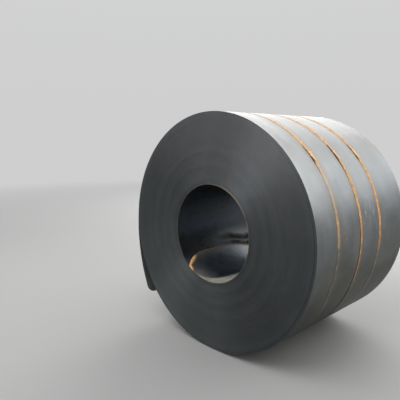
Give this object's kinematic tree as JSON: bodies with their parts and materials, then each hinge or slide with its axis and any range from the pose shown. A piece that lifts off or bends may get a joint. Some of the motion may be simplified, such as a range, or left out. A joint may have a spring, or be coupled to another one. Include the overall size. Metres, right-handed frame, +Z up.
{
  "type": "steel coil",
  "caption": "Coil of hot-rolled steel strip lying on its side, with a round eye, a sprung outer tail and flat steel straps with crimped seals.",
  "frame": {"origin": "on the floor, under the middle of the coil's length, below the axis of the eye", "axes": "+Z up; +Y along the coil's horizontal axis, away from the front end; +X to the right as seen from the front end"},
  "size_m": [1.8597, 1.334, 1.8528],
  "materials": {
    "coil_steel": "hot-rolled mill scale, dark blue-grey and satin, with rust at the strip's edges",
    "strap_steel": "matt orange-brown surface rust",
    "seal_steel": "matt orange-brown surface rust, darker in the crimps"
  },
  "bodies": {
    "root": {"coil": "coil_steel", "strap_front": "strap_steel", "strap_middle": "strap_steel", "strap_back": "strap_steel", "seal_front": "seal_steel", "seal_middle": "seal_steel", "seal_back": "seal_steel"}
  },
  "joints": []
}
